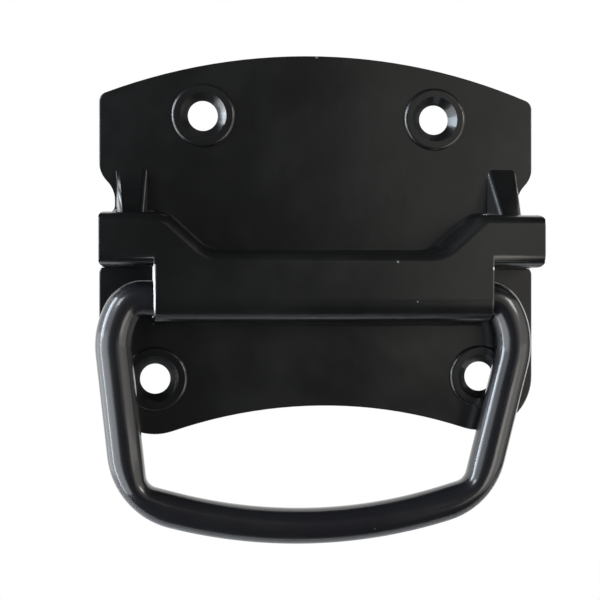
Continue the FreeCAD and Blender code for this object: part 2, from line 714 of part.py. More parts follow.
def half_spine(s, side):
    """The six bend points of one side of the bail, right (1) or left (-1)."""
    lean = s.right_lean if side > 0 else s.left_lean
    grip_centre = VEC(side * s.grip_offset, s.grip_centre_z, 0)
    first_end, second_centre, arm_start = shoulder_points(s, lean)
    corner, arm_end, grip_end = corner_points(s, lean, arm_start, grip_centre)
    points = (first_end, second_centre, arm_start, arm_end, corner, grip_end)
    return [(side * point.x, point.y) for point in points]


def spine_sketch(body, s):
    """Centreline of the bail, from the left pin round the grip to the right pin."""
    sketch = new_sketch(body, "SpineSketch", "XZ_Plane", "pin_forward")
    first_z = s.pin_z - s.shoulder_radius
    run = Outline(sketch, (-s.pin_inner_end, s.pin_z))
    left_pin = run.line(-s.shoulder_start, s.pin_z, way="Horizontal")
    first_end, second_centre, arm_start, arm_end, corner, grip_end = half_spine(s, -1)
    left_first = run.arc(*first_end, (-s.shoulder_start, first_z), False, "shoulder_radius")
    run.arc(*arm_start, second_centre, False, "shoulder_low_radius")
    left_arm = run.line(*arm_end, smooth=True)
    run.arc(*grip_end, corner, False, "corner_radius")
    first_end, second_centre, arm_start, arm_end, corner, grip_end = half_spine(s, 1)
    grip = run.arc(*grip_end, (s.grip_offset, s.grip_centre_z), False, "grip_radius")
    run.arc(*arm_end, corner, False, "corner_radius")
    right_arm = run.line(*arm_start, smooth=True)
    run.arc(*first_end, second_centre, False, "shoulder_low_radius")
    right_first = run.arc(
        s.shoulder_start, s.pin_z, (s.shoulder_start, first_z), False, "shoulder_radius"
    )
    right_pin = run.line(s.pin_inner_end, s.pin_z, smooth=True, way="Horizontal")
    place(sketch, "DistanceX", left_pin, 1, "left_pin_end", s)
    place(sketch, "DistanceX", left_pin, 2, "left_shoulder_start", s)
    place(sketch, "DistanceY", left_pin, 1, "pin_z", s)
    place(sketch, "DistanceX", grip, 3, "grip_offset", s)
    place(sketch, "DistanceY", grip, 3, "grip_centre_z", s)
    place(sketch, "DistanceX", right_pin, 2, "pin_inner_end", s)
    place(sketch, "DistanceX", right_pin, 1, "shoulder_start", s)
    place(sketch, "DistanceY", right_pin, 2, "pin_z", s)
    turn = math.radians(s.shoulder_turn)
    for bend in (left_first, right_first):
        bind(sketch, Sketcher.Constraint("Angle", bend, turn), "Sizes.shoulder_turn * 1 deg")
    lean = math.radians(s.left_lean - 90)
    bind(sketch, Sketcher.Constraint("Angle", left_arm, lean), "(Sizes.left_lean - 90) * 1 deg")
    lean = math.radians(90 - s.right_lean)
    bind(sketch, Sketcher.Constraint("Angle", right_arm, lean), "(90 - Sizes.right_lean) * 1 deg")
    return sketch


def bail(doc, s):
    """The swinging handle: one round bar bent to shape, its two ends held in the hood."""
    body = doc.addObject("PartDesign::Body", "Bail")
    body.Label = "bail"
    spine = spine_sketch(body, s)
    section = new_sketch(body, "SectionSketch", "YZ_Plane", "left_pin_end")
    circle = Part.Circle(VEC(s.pin_back, s.pin_z, 0), VEC(0, 0, 1), s.bar_radius)
    index = section.addGeometry(circle, False)
    bind(section, Sketcher.Constraint("Radius", index, s.bar_radius), "Sizes.bar_radius")
    place(section, "DistanceX", index, 3, "pin_back", s)
    place(section, "DistanceY", index, 3, "pin_z", s)
    doc.recompute()
    bar = body.newObject("PartDesign::AdditivePipe", "Bar")
    bar.Profile = section
    bar.Spine = (spine, [])
    body.setExpression("Placement.Base.x", "Sizes.bail_side_shift")
    doc.recompute()
    return body


def check(doc, bodies):
    """Stops where an object failed or a sub-part is not one valid solid."""
    for item in doc.Objects:
        if "Invalid" in item.State or "Error" in item.State:
            raise ValueError(item.Name + " did not compute")
    for body in bodies:
        if body.Shape.isNull() or not body.Shape.isValid() or len(body.Shape.Solids) != 1:
            raise ValueError(body.Label + " is not one valid solid")
        box = body.Shape.optimalBoundingBox(False)
        print(
            body.Label,
            "volume mm3",
            round(body.Shape.Volume, 1),
            "low",
            [round(v, 2) for v in (box.XMin, box.YMin, box.ZMin)],
            "high",
            [round(v, 2) for v in (box.XMax, box.YMax, box.ZMax)],
        )


def main():
    doc = FreeCAD.newDocument("BoxHandle")
    s = Sizes(make_sheet(doc))
    bodies = [back_plate(doc, s), bail(doc, s)]
    doc.recompute()
    check(doc, bodies)
    os.makedirs("parts", exist_ok=True)
    for body in bodies:
        body.Shape.exportStep("parts/" + body.Label + ".step")


main()
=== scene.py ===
# %% [markdown]
# # A steel box handle, painted gloss black
#
# The handle is two pieces: a plate pressed from thin sheet, and a round bar bent into a bail that
# swings in the plate's hood. The sizes and places come from the CAD frame. This script gives both
# pieces their surfaces, lights them like a small object in a studio tent, and sets the camera.

import math

import bmesh
import bpy
from mathutils import Matrix, Vector


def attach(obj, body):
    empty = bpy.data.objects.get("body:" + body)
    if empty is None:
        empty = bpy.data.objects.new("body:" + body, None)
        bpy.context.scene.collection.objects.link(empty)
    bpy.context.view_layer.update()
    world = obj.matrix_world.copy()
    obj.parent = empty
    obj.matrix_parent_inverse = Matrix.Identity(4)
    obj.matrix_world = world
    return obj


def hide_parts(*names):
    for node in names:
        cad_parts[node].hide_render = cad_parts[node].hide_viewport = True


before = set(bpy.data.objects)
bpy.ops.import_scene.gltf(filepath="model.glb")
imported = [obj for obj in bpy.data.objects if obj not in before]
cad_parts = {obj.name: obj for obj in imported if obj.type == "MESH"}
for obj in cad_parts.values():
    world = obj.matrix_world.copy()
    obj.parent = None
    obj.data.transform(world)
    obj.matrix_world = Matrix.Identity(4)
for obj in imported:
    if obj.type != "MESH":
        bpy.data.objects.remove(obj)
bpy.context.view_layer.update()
MM = 0.001

# %% [markdown]
# ## Small helpers
#
# A finished piece is a mesh whose object stays at the origin. `new_piece` turns a bmesh into such
# an object, and `smooth` shades it round everywhere except across edges that are really sharp,
# with the flats keeping their own direction, as rolled sheet does.


# %% Helpers for pieces
def put_in_scene(name, data):
    thing = bpy.data.objects.new(name, data)
    bpy.context.scene.collection.objects.link(thing)
    return thing


def new_piece(name, bm):
    mesh = bpy.data.meshes.new(name)
    bm.to_mesh(mesh)
    bm.free()
    print(name, len(mesh.vertices), "points", len(mesh.polygons), "faces")
    return put_in_scene(name, mesh)


def smooth(piece, sharp_angle):
    mesh = piece.data
    mesh.polygons.foreach_set("use_smooth", [True] * len(mesh.polygons))
    mesh.set_sharp_from_angle(angle=math.radians(sharp_angle))
    flats_first = piece.modifiers.new("Flats first", "WEIGHTED_NORMAL")
    flats_first.keep_sharp = True
    flats_first.weight = 100


# %% [markdown]
# ## The pressed plate
#
# On the real handle one press blow makes the hood, ears, ribs and screw rings in a sheet of
# steel. It could be modelled again from a grid, but the CAD solid already has every bend, so a
# copy of its mesh is used: its loose triangles are merged, and flat areas become single faces so
# that they shade evenly.

# %% Plate from the CAD solid
SAME_POINT = 0.002 * MM
SAME_FLAT = 0.5  # degrees between two triangles of one flat area

plate_bm = bmesh.new()
plate_bm.from_mesh(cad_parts["back_plate"].data)
bmesh.ops.remove_doubles(plate_bm, verts=plate_bm.verts, dist=SAME_POINT)
bmesh.ops.dissolve_limit(
    plate_bm,
    angle_limit=math.radians(SAME_FLAT),
    use_dissolve_boundaries=False,
    verts=plate_bm.verts,
    edges=plate_bm.edges,
    delimit={"NORMAL"},
)
print("plate faces once merged:", len(plate_bm.faces))

# %% [markdown]
# A punch leaves a pressed rib narrower at its crest than at its foot, so that the part comes off
# the tool. The CAD ribs have upright flanks. Here each rib's skin is drawn in towards its middle,
# more the further it stands out of the sheet, and the feet stay where they are. Moving the points
# that are there is enough for this, and keeps the rib joined to the ear.

# %% Draw in the ribs' flanks
RIB_MIDDLE = 42.8 * MM
RIB_HALF = 3.5 * MM
RIB_DRAFT = 0.13
RIB_TOP = 18.3 * MM
EAR_TOP = 7.3 * MM
SHEET_FRONT = -1.2 * MM
OFF_THE_SHEET = 0.05 * MM
SLACK = 0.1 * MM

drawn = 0
for vert in plate_bm.verts:
    across = vert.co.x - math.copysign(RIB_MIDDLE, vert.co.x)
    height = SHEET_FRONT - vert.co.y
    on_rib = abs(across) < RIB_HALF + SLACK and EAR_TOP - SLACK < vert.co.z < RIB_TOP
    if on_rib and height > OFF_THE_SHEET:
        vert.co.x -= across * RIB_DRAFT * height / RIB_HALF
        drawn += 1
print("rib points drawn in:", drawn)

# %% [markdown]
# The shears leave a small rolled edge around the front of the sheet and at the ears' ends, and
# the paint rounds it further. A Bevel modifier would round every sharp edge, the inner ones too,
# so the edges are picked here and bevelled once: only outward corners, where the sheet's outline
# meets its front face, and around the end of each ear.

# %% Roll the sheared edges
HALF_WIDTH = 50 * MM
ROLLED_EDGE = 0.28 * MM
SQUARE_TURN = 60  # degrees; a bend in the sheet turns less from face to face
ON_THE_LINE = 0.01 * MM
RIB_FOOT = EAR_TOP - 1 * MM
EAR_SKIN = -9 * MM


def on_rim(edge):
    if not edge.is_convex or edge.calc_face_angle() < math.radians(SQUARE_TURN):
        return False
    middle = (edge.verts[0].co + edge.verts[1].co) / 2
    flat = all(abs(vert.co.y - SHEET_FRONT) < ON_THE_LINE for vert in edge.verts)
    beside_rib = RIB_FOOT < middle.z < RIB_TOP
    ear_end = all(abs(abs(vert.co.x) - HALF_WIDTH) < ON_THE_LINE for vert in edge.verts)
    return flat and not beside_rib or ear_end and middle.y < EAR_SKIN


rim = [edge for edge in plate_bm.edges if on_rim(edge)]
bmesh.ops.bevel(
    plate_bm,
    geom=rim,
    offset=ROLLED_EDGE,
    offset_type="OFFSET",
    segments=3,
    profile=0.5,
    affect="EDGES",
    clamp_overlap=False,
    material=-1,
)
print("rolled edges:", len(rim))
print("plate open edges:", sum(1 for edge in plate_bm.edges if not edge.is_manifold))
plate = new_piece("pressed_plate", plate_bm)
smooth(plate, sharp_angle=28)

# %% [markdown]
# ## The bent bail
#
# The real bail is a length of 8 mm bar, cut and bent in a jig: two tight bends and two wide ones
# for the shoulders, two corners, and a long shallow bow for the grip. A bevelled curve could
# follow the same path, but its rings bunch up in tight bends. `Bender`, below, works as the jig
# does instead, and this cell holds the jig's settings. The two arms lean in by different amounts,
# as the bent bar in the photograph does.

# %% Bail sizes
BAR_RADIUS = 4 * MM
PIN_Y = -6.3 * MM
PIN_Z = -11.6 * MM
PIN_INNER_END = 14 * MM
SIDE_PLAY = -1.4 * MM
SHOULDER_START = 39.1 * MM
SHOULDER_TIGHT = 4.8 * MM
SHOULDER_TURN = 60
SHOULDER_WIDE = 16 * MM
LEAN = {"left": 6.4, "right": 14.3}
CORNER_RADIUS = 14.5 * MM
GRIP_RADIUS = 114 * MM
GRIP_DROP = 51.05 * MM
GRIP_SHIFT = -2.1 * MM
GRIP_CENTRE_Z = PIN_Z - GRIP_DROP + GRIP_RADIUS
print("bar mm:", 2 * BAR_RADIUS / MM, "grip's centre is", round(GRIP_CENTRE_Z / MM, 2), "mm up")

# %% [markdown]
# Arm and corner have to meet the grip's bow without a kink. The corner's circle touches both, so
# its centre lies on a line beside the arm and on a ring inside the bow. Where the two cross gives
# the arm's length, and the direction from the bow's centre gives the corner's turn.


# %% Arm length and corner turn of one side
def side_run(side):
    """Straight length of an arm and the turn of its corner, worked out on the right-hand side."""
    lean = math.radians(LEAN[side])
    turn = math.radians(SHOULDER_TURN)
    shift = GRIP_SHIFT if side == "right" else -GRIP_SHIFT
    tight_end = Vector((SHOULDER_START, 0, PIN_Z)) + SHOULDER_TIGHT * Vector(
        (math.sin(turn), 0, math.cos(turn) - 1)
    )
    wide_centre = tight_end - SHOULDER_WIDE * Vector((math.sin(turn), 0, math.cos(turn)))
    inward = Vector((-math.cos(lean), 0, math.sin(lean)))
    along = Vector((-math.sin(lean), 0, -math.cos(lean)))
    arm_start = wide_centre - SHOULDER_WIDE * inward
    grip_centre = Vector((shift, 0, GRIP_CENTRE_Z))
    gap = arm_start + CORNER_RADIUS * inward - grip_centre
    half = gap.dot(along)
    reach = GRIP_RADIUS - CORNER_RADIUS
    length = -half + math.sqrt(half**2 - gap.length_squared + reach**2)
    corner = arm_start + CORNER_RADIUS * inward + length * along
    toward_grip = (corner - grip_centre).normalized()
    return length, math.degrees(math.acos(toward_grip.dot(-inward)))


left_length, left_turn = side_run("left")
right_length, right_turn = side_run("right")
grip_turn = 180 - left_turn - right_turn - LEAN["left"] - LEAN["right"]
print("arms mm:", round(left_length / MM, 1), round(right_length / MM, 1))
print("corner turns:", round(left_turn, 1), round(right_turn, 1), "grip:", round(grip_turn, 1))

# %% [markdown]
# `Bender` holds the ring of edges at the open end of the bar. For a straight it extrudes that
# ring a step at a time; for a bend it spins it about the bend's centre, so each bend is a true
# piece of a ring. It keeps the place and the heading of the bar's middle line, and the next move
# starts there.


# %% The bender
class Bender:
    """Holds the open end ring of the bar and carries it on, straight or round a bend."""

    def __init__(self, start, segments):
        self.bm = bmesh.new()
        bmesh.ops.create_circle(
            self.bm,
            cap_ends=False,
            segments=segments,
            radius=BAR_RADIUS,
            matrix=Matrix.Translation(start) @ Matrix.Rotation(math.radians(-90), 4, "Y"),
        )
        self.first_ring = list(self.bm.edges)
        self.ring = self.first_ring
        self.place = start.copy()
        self.heading = Vector((-1, 0, 0))

    def straight(self, length, steps):
        for _ in range(steps):
            grown = bmesh.ops.extrude_edge_only(self.bm, edges=self.ring)["geom"]
            verts = [item for item in grown if isinstance(item, bmesh.types.BMVert)]
            edges = [item for item in grown if isinstance(item, bmesh.types.BMEdge)]
            bmesh.ops.translate(self.bm, verts=verts, vec=self.heading * (length / steps))
            self.ring = [edge for edge in edges if set(edge.verts) <= set(verts)]
        self.place += self.heading * length

    def bend(self, radius, degrees, steps):
        to_centre = Vector((-self.heading.z, 0, self.heading.x))
        centre = self.place + to_centre * radius
        spun = bmesh.ops.spin(
            self.bm,
            geom=self.ring,
            cent=centre,
            axis=(0, -1, 0),
            angle=math.radians(degrees),
            steps=steps,
            use_merge=False,
            use_duplicate=False,
        )["geom_last"]
        self.ring = [item for item in spun if isinstance(item, bmesh.types.BMEdge)]
        turn = Matrix.Rotation(math.radians(degrees), 3, Vector((0, -1, 0)))
        self.place = centre + turn @ (self.place - centre)
        self.heading = turn @ self.heading
        return centre


# %% [markdown]
# The bar is bent from its left end inside the hood, round the whole bail, to its right end inside
# the hood. The steps say how many pieces a straight or a bend is made of: more of them where the
# bend is tight or long, so that its outline looks round.

# %% Bend the bar
AROUND = 72  # points around the bar
PIN_STEPS, SHOULDER_STEPS, ARM_STEPS, CORNER_STEPS, GRIP_STEPS = 6, 22, 14, 32, 60

bar = Bender(Vector((-PIN_INNER_END, PIN_Y, PIN_Z)), AROUND)
bar.straight(SHOULDER_START - PIN_INNER_END, PIN_STEPS)
bar.bend(SHOULDER_TIGHT, SHOULDER_TURN, SHOULDER_STEPS)
bar.bend(SHOULDER_WIDE, 90 - SHOULDER_TURN + LEAN["left"], SHOULDER_STEPS)
bar.straight(left_length, ARM_STEPS)
left_centre = bar.bend(CORNER_RADIUS, left_turn, CORNER_STEPS)
bar.bend(GRIP_RADIUS, grip_turn, GRIP_STEPS)
right_centre = bar.bend(CORNER_RADIUS, right_turn, CORNER_STEPS)
bar.straight(right_length, ARM_STEPS)
bar.bend(SHOULDER_WIDE, 90 - SHOULDER_TURN + LEAN["right"], SHOULDER_STEPS)
bar.bend(SHOULDER_TIGHT, SHOULDER_TURN, SHOULDER_STEPS)
bar.straight(SHOULDER_START - PIN_INNER_END, PIN_STEPS)
print("bar ends at mm:", [round(c / MM, 3) for c in bar.place])

# %% [markdown]
# Bar that is bent in a jig isn't round in its tight corners: the jig's nose presses the inside of
# the bend, so there the two straights run on and meet in a much smaller radius. Each point in a
# corner is moved along the line from the bend's centre, fully on the inside and not at all on the
# outside.

# %% Press the inside of the two corners
INNER_RADIUS = 3 * MM
INSIDE = CORNER_RADIUS - BAR_RADIUS


def inner_press(away, turn):
    """How far the inside is pressed outwards at an angle away from the middle of a turn."""
    half = math.radians(turn / 2)
    nose = (INSIDE - INNER_RADIUS) / math.cos(half)
    away = math.radians(abs(away))
    if away < half - math.atan(nose * math.sin(half) / INSIDE):
        reach = nose * math.cos(away) + math.sqrt(INNER_RADIUS**2 - (nose * math.sin(away)) ** 2)
    else:
        reach = INSIDE / math.cos(half - away)
    return reach - INSIDE


def press_corner(bm, centre, middle_angle, turn):
    for vert in bm.verts:
        out = Vector((vert.co.x - centre.x, 0, vert.co.z - centre.z))
        away = math.degrees(math.atan2(out.x, -out.z)) - middle_angle
        if abs(away) >= turn / 2 or out.length > CORNER_RADIUS + 2 * BAR_RADIUS:
            continue
        inward = (1 - (out.length - CORNER_RADIUS) / BAR_RADIUS) / 2
        vert.co += out.normalized() * inner_press(away, turn) * inward


press_corner(bar.bm, left_centre, -(90 - LEAN["left"]) + left_turn / 2, left_turn)
press_corner(bar.bm, right_centre, (90 - LEAN["right"]) - right_turn / 2, right_turn)
for side, turn in (("left", left_turn), ("right", right_turn)):
    print(side, "corner pressed by mm:", round(inner_press(0, turn) / MM, 2))

# %% [markdown]
# The saw leaves the bar's ends flat and square, and a file takes their rims off. Each open ring
# gets one face, whose rim is bevelled. The whole bail then moves to where it hangs, a little to
# the left in the play between the ears.

# %% Close the bar's ends
FILED_RIM = 0.4 * MM
SAME_BAR_POINT = 0.001 * MM

for ring in (bar.first_ring, bar.ring):
    cap = bmesh.ops.contextual_create(bar.bm, geom=ring)["faces"]
    bmesh.ops.bevel(
        bar.bm,
        geom=[edge for face in cap for edge in face.edges],
        offset=FILED_RIM,
        offset_type="OFFSET",
        segments=3,
        profile=0.5,
        affect="EDGES",
        material=-1,
    )
bmesh.ops.remove_doubles(bar.bm, verts=bar.bm.verts, dist=SAME_BAR_POINT)
bmesh.ops.recalc_face_normals(bar.bm, faces=bar.bm.faces)
bmesh.ops.translate(bar.bm, verts=bar.bm.verts, vec=(SIDE_PLAY, 0, 0))
print("bar open edges:", sum(1 for edge in bar.bm.edges if not edge.is_manifold))
bail = new_piece("bent_bail", bar.bm)
smooth(bail, sharp_angle=40)

# %% [markdown]
# ## Black paint over steel
#
# Gloss paint on a pressed part is never one flat black. It has a faint orange-peel ripple, a slow
# drift between shiny and duller areas, dust specks, and bare steel at chips; bare steel is also
# laid along the hood's mouths as painted highlights and glints. Each of these is a noise pattern
# on the object's own coordinates, so it stays put when the piece moves. A small class gives the
# nodes short names, so that a pattern reads as one line.

# %% Node helpers
BARE_SHARE = 0.3  # a chip is fully bare inside this share of its reach


class Nodes:
    """Short names for building one material's node tree."""

    def __init__(self, material):
        self.tree = material.node_tree
        self.tree.nodes.clear()
        self.place = self.add("ShaderNodeTexCoord").outputs["Object"]

    def add(self, kind, **settings):
        node = self.tree.nodes.new(kind)
        for name, value in settings.items():
            setattr(node, name, value)
        return node

    def link(self, source, target):
        self.tree.links.new(source, target)

    def noise(self, per_metre, detail=3, roughness=0.5):
        node = self.add("ShaderNodeTexNoise")
        node.inputs["Scale"].default_value = per_metre
        node.inputs["Detail"].default_value = detail
        node.inputs["Roughness"].default_value = roughness
        self.link(self.place, node.inputs["Vector"])
        return node.outputs["Fac"]

    def remap(self, value, low, high, to_low=0.0, to_high=1.0):
        node = self.add("ShaderNodeMapRange", interpolation_type="SMOOTHSTEP")
        node.inputs["From Min"].default_value = low
        node.inputs["From Max"].default_value = high
        node.inputs["To Min"].default_value = to_low
        node.inputs["To Max"].default_value = to_high
        self.link(value, node.inputs["Value"])
        return node.outputs["Result"]

    def math(self, operation, first, second):
        node = self.add("ShaderNodeMath", operation=operation)
        for socket, value in zip(node.inputs, (first, second)):
            if isinstance(value, (int, float)):
                socket.default_value = value
            else:
                self.link(value, socket)
        return node.outputs["Value"]

    def blend(self, factor, first, second):
        node = self.add("ShaderNodeMix", data_type="RGBA")
        self.link(factor, node.inputs["Factor"])
        for name, value in (("A", first), ("B", second)):
            socket = [s for s in node.inputs if s.name == name and s.type == "RGBA"][0]
            if isinstance(value, tuple):
                socket.default_value = value
            else:
                self.link(value, socket)
        return [s for s in node.outputs if s.type == "RGBA"][0]

    def near_point(self, point_mm, reach_mm):
        """1 at a point on the piece, falling to 0 at the given reach."""
        node = self.add("ShaderNodeVectorMath", operation="DISTANCE")
        self.link(self.place, node.inputs[0])
        node.inputs[1].default_value = Vector(point_mm) * MM
        fully = BARE_SHARE * reach_mm * MM
        return self.remap(node.outputs["Value"], reach_mm * MM, fully)

    def axis(self, name):
        node = self.add("ShaderNodeSeparateXYZ")
        self.link(self.place, node.inputs["Vector"])
        return node.outputs[name]


# %% [markdown]
# The paint isn't a full black: the plate's is neutral, and the bail's is a little lighter and
# bluer, as in the photograph. The size of each pattern is given as its waves in a metre, and what
# it does as a named number, so that each can be tried by itself.

# %% Colours and patterns of the paint
PLATE_PAINT = (0.0042, 0.0043, 0.0044, 1)
BAIL_PAINT = (0.0105, 0.0103, 0.0140, 1)
DUST = (0.012, 0.0125, 0.0125, 1)
# Bare steel at real chips, also laid on the mouths as painted highlights and glints.
STEEL_FOR_CHIPS_AND_GLINTS = (0.62, 0.64, 0.66, 1)

# Waves of each pattern in a metre, coarsest first.
CLOUDS, SHEET_WAVES, ORANGE_PEEL, DUST_SPECKS, CHIP_EDGES, GRAIN = 38, 70, 420, 900, 1500, 2600
# How much of the dust colour its specks and its cloudy film show.
SPECKS_SHOW, FILM_SHOWS = 0.6, 0.5
# Roughness of bare steel and of a dust speck, and what the dull areas add to paint and coat.
STEEL_ROUGHNESS, SPECK_ROUGHNESS, DULL_PAINT, DULL_COAT = 0.34, 0.45, 0.10, 0.05
# Heights against that of the orange peel; a chip goes inwards.
WAVE_HEIGHT, GRAIN_HEIGHT, CHIP_DEPTH = 7.0, 0.12, 0.8
BUMP_DEPTH = 0.05 * MM
BUMP_STRENGTH = 0.35
PAINT_IOR = 1.5
print("clouds every", round(1000 / CLOUDS), "mm, grain every", round(1000 / GRAIN, 2), "mm")

# %% [markdown]
# A chip's rim is never a clean circle. Noise is added to the smooth spot and the sum is cut at
# the middle, which leaves a ragged patch. The same patch is sunk into the bump, under the slow
# waves of the sheet, the orange peel and the fine grain.


# %% Bare steel and the bump
def bare_and_glint_mask(n, chips_and_glints, painted_highlight_lines, seed):
    """1 where the steel is bare: every chip, painted glint and painted highlight line, with a
    ragged rim.
    """
    ragged = n.noise(CHIP_EDGES + seed, detail=4, roughness=0.7)
    spots = [n.near_point(point, reach) for point, reach in chips_and_glints] + [painted_highlight_line(n) for painted_highlight_line in painted_highlight_lines]
    bare_and_glints = spots[0]
    for spot in spots[1:]:
        bare_and_glints = n.math("MAXIMUM", bare_and_glints, spot)
    return n.remap(n.math("ADD", bare_and_glints, n.math("SUBTRACT", ragged, 0.5)), 0.42, 0.58)


def paint_bump(n, bare_and_glints, seed):
    """The paint's surface: waves, orange peel and grain, with the bare places and painted glints
    sunk in.
    """
    peel = n.noise(ORANGE_PEEL + seed, detail=2, roughness=0.4)
    grain = n.math("MULTIPLY", n.noise(GRAIN + seed, detail=2), GRAIN_HEIGHT)
    wave = n.math("MULTIPLY", n.noise(SHEET_WAVES + seed, detail=2), WAVE_HEIGHT)
    height = n.math("ADD", n.math("ADD", wave, grain), peel)
    height = n.math("SUBTRACT", height, n.math("MULTIPLY", bare_and_glints, CHIP_DEPTH))
    bump = n.add("ShaderNodeBump")
    bump.inputs["Strength"].default_value = BUMP_STRENGTH
    bump.inputs["Distance"].default_value = BUMP_DEPTH
    n.link(height, bump.inputs["Height"])
    return bump.outputs["Normal"]


# %% [markdown]
# The paint is one function for both pieces. Its colour goes from paint to dust by a cloudy mask,
# and to steel where it is bare, at chips and at the painted highlights and glints; the same bare
# mask turns metallic on and sets the steel's roughness. A clear coat over it gives the hard edge
# of a gloss reflection above the softer one of the pigment.


# %% The paint
def gloss_black(name, paint, chips_and_glints, painted_highlight_lines=(), shine=0.28, coat=0.15, seed=0.0):
    """Gloss black paint with bare steel at chips and painted glints, (point, reach) in mm, and on
    painted highlight lines.

    Shine and coat are the roughness of the paint and of its clear coat where they are glossiest.
    Seed makes every pattern a little finer, so that two pieces don't show the same one.
    """
    material = bpy.data.materials.new(name)
    material.use_nodes = True
    n = Nodes(material)
    shader = n.add("ShaderNodeBsdfPrincipled")
    output = n.add("ShaderNodeOutputMaterial")
    n.link(shader.outputs["BSDF"], output.inputs["Surface"])

    cloud = n.noise(CLOUDS + seed, detail=4, roughness=0.6)
    specks = n.remap(n.noise(DUST_SPECKS + seed, detail=5, roughness=0.75), 0.66, 0.74)
    film = n.remap(cloud, 0.35, 0.75, 0.0, FILM_SHOWS)
    dirt = n.math("MAXIMUM", n.math("MULTIPLY", specks, SPECKS_SHOW), film)
    bare_and_glints = bare_and_glint_mask(n, chips_and_glints, painted_highlight_lines, seed)
    colour = n.blend(bare_and_glints, n.blend(dirt, paint, DUST), STEEL_FOR_CHIPS_AND_GLINTS)
    n.link(colour, shader.inputs["Base Color"])
    n.link(n.remap(bare_and_glints, 0.2, 0.8), shader.inputs["Metallic"])

    gloss = n.remap(cloud, 0.3, 0.7, shine, shine + DULL_PAINT)
    rough = n.math("MAXIMUM", gloss, n.math("MULTIPLY", bare_and_glints, STEEL_ROUGHNESS))
    rough = n.math("MAXIMUM", rough, n.math("MULTIPLY", specks, SPECK_ROUGHNESS))
    n.link(rough, shader.inputs["Roughness"])
    normal = paint_bump(n, bare_and_glints, seed)
    n.link(normal, shader.inputs["Normal"])

    shader.inputs["IOR"].default_value = PAINT_IOR
    shader.inputs["Coat Weight"].default_value = 1.0
    shader.inputs["Coat IOR"].default_value = PAINT_IOR
    n.link(n.remap(cloud, 0.3, 0.7, coat, coat + DULL_COAT), shader.inputs["Coat Roughness"])
    n.link(normal, shader.inputs["Coat Normal"])
    print(name, "has", len(n.tree.nodes), "nodes")
    return material


# %% [markdown]
# ## Wear and painted highlights
#
# The photograph shows the bare places: a chip on the hood's brow and a few specks. The bright
# line down the hood's left mouth is a painted highlight: bare steel laid on the mouth's rounded
# edge, so that the left lamps make it bright. They could be painted by hand, but a mask that is 1
# near a given point or line needs no picture. Each is placed where it is on the piece, in
# millimetres.

# %% The painted highlight on the left mouth
MOUTH = 38.1


def left_mouth_painted_highlight(n):
    """Painted highlight: bare steel on the rounded edge of the hood's left mouth, from below the
    ear to the lip.
    """
    to_the_left = n.math("MULTIPLY", n.axis("X"), -1)
    near_mouth = n.remap(to_the_left, (MOUTH - 0.48) * MM, (MOUTH - 0.38) * MM)
    below_ear = n.remap(n.axis("Z"), -4.0 * MM, -4.5 * MM)
    above_lip = n.remap(n.axis("Z"), -17.0 * MM, -16.4 * MM)
    front = n.remap(n.axis("Y"), -9.6 * MM, -10.6 * MM)
    there = n.math("MULTIPLY", n.math("MULTIPLY", near_mouth, below_ear), above_lip)
    return n.math("MULTIPLY", there, front)


# %% [markdown]
# The other bare places are small, so each is a point and a reach around it: a chip on the brow,
# specks on the hood, the sheet and the grip, and painted glints at the corners of both mouths,
# bare steel put where the lamps catch the corners.

# %% Chips and painted glints, each a point and its reach in mm
BROW_CHIPS = [((15.9, -11.4, -3.6), 0.68), ((16.5, -11.35, -3.35), 0.35)]
HOOD_SPECKS = [
    ((-9.6, -11.8, -17.1), 0.3),
    ((-4.3, -11.8, -17.1), 0.25),
    ((20.4, -11.8, -12.4), 0.3),
]
SHEET_SPECKS = [((-0.8, -1.2, 43.6), 0.6), ((-43.8, -1.4, 12.0), 0.4)]
# Painted glints: bare steel at the corners of both mouths, standing in for highlights.
MOUTH_CORNER_GLINTS = [
    ((-38.1, -11.6, -4.9), 0.75),
    ((-38.1, -10.6, -16.6), 0.7),
    ((38.1, -11.6, -4.9), 0.7),
    ((38.1, -10.6, -16.6), 0.6),
]
GRIP_SPECKS = [
    ((29.5, -9.4, -59.6), 0.5),
    ((21.4, -9.4, -60.4), 0.35),
    ((23.2, -9.6, -60.0), 0.3),
    ((11.0, -10.0, -63.0), 0.3),
]
plate_paint = gloss_black(
    "gloss_black_plate",
    PLATE_PAINT,
    BROW_CHIPS + HOOD_SPECKS + SHEET_SPECKS + MOUTH_CORNER_GLINTS,
    painted_highlight_lines=[left_mouth_painted_highlight],
)
bail_paint = gloss_black(
    "gloss_black_bail", BAIL_PAINT, GRIP_SPECKS, shine=0.26, coat=0.07, seed=7.0
)

# %% [markdown]
# ## Joining the frame
#
# Each piece is given its paint slot and told which body it moves with, and the CAD node it stands
# in for is hidden. The plate is screwed to the box and stays still; the bail turns about its own
# ends.

# %% Dress both pieces
plate.data.materials.append(plate_paint)
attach(plate, "plate")
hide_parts("back_plate")
bail.data.materials.append(bail_paint)
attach(bail, "bail")
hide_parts("bail")
print("dressed:", plate.name, "and", bail.name)

# %% [markdown]
# ## Floor and backdrop
#
# The photograph is a cut-out on white. A pale floor below the handle and a white card behind it
# stand in for that, and the floor takes the handle's shadow.

# %% Stage sizes and tones
FLOOR_Z = -0.26
FLOOR_FRONT = -0.03
WALL_Y = 0.35
STAGE_HALF = 0.6
CARD = (0.8, 0.8, 0.8, 1)
FLOOR_TONE = 0.35
FLOOR_TONE_SEEN = 0.9
FLOOR_ROUGHNESS = 0.7
print("stage mm wide:", round(2 * STAGE_HALF / MM), "floor mm down:", round(-FLOOR_Z / MM))

